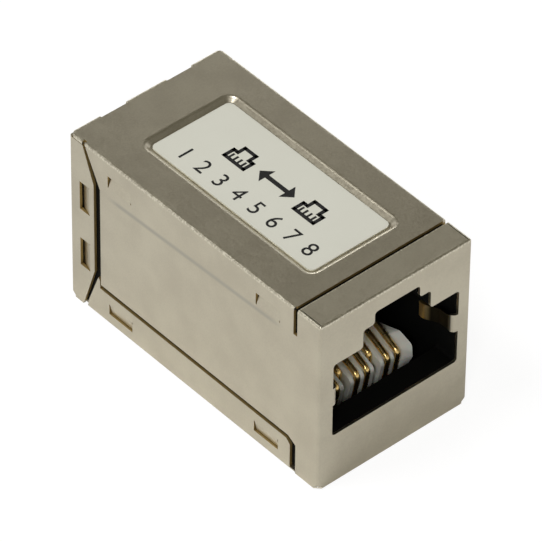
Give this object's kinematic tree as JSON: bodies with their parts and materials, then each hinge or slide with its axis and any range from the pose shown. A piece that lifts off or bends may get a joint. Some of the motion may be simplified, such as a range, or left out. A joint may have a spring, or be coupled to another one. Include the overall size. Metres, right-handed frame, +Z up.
{
  "type": "rj45 inline coupler",
  "caption": "Shielded inline coupler that joins two RJ45 network plugs end to end: a folded metal box with a keyed port in each end and a blank label panel on top.",
  "frame": {"origin": "under the middle of the box, on the flat face that it stands on", "axes": "+Z up, +Y from the front port to the rear port along the box, +X to the right when looking into the front port"},
  "size_m": [0.015, 0.0286, 0.0166],
  "materials": {
    "shield_plating": "satin nickel plating on folded brass sheet",
    "label_film": "satin off-white film",
    "jack_plastic": "black moulded plastic",
    "sled_plastic": "off-white moulded plastic",
    "board_laminate": "green glass laminate",
    "contact_gold": "gold-plated spring wire"
  },
  "bodies": {
    "root": {"shield_shell": "shield_plating", "bottom_cover": "shield_plating", "label": "label_film", "front_jack_body": "jack_plastic", "rear_jack_body": "jack_plastic", "front_contact_sled": "sled_plastic", "rear_contact_sled": "sled_plastic", "circuit_board": "board_laminate", "front_contact_1": "contact_gold", "front_contact_2": "contact_gold", "front_contact_3": "contact_gold", "front_contact_4": "contact_gold", "front_contact_5": "contact_gold", "front_contact_6": "contact_gold", "front_contact_7": "contact_gold", "front_contact_8": "contact_gold", "rear_contact_1": "contact_gold", "rear_contact_2": "contact_gold", "rear_contact_3": "contact_gold", "rear_contact_4": "contact_gold", "rear_contact_5": "contact_gold", "rear_contact_6": "contact_gold", "rear_contact_7": "contact_gold", "rear_contact_8": "contact_gold"}
  },
  "joints": []
}
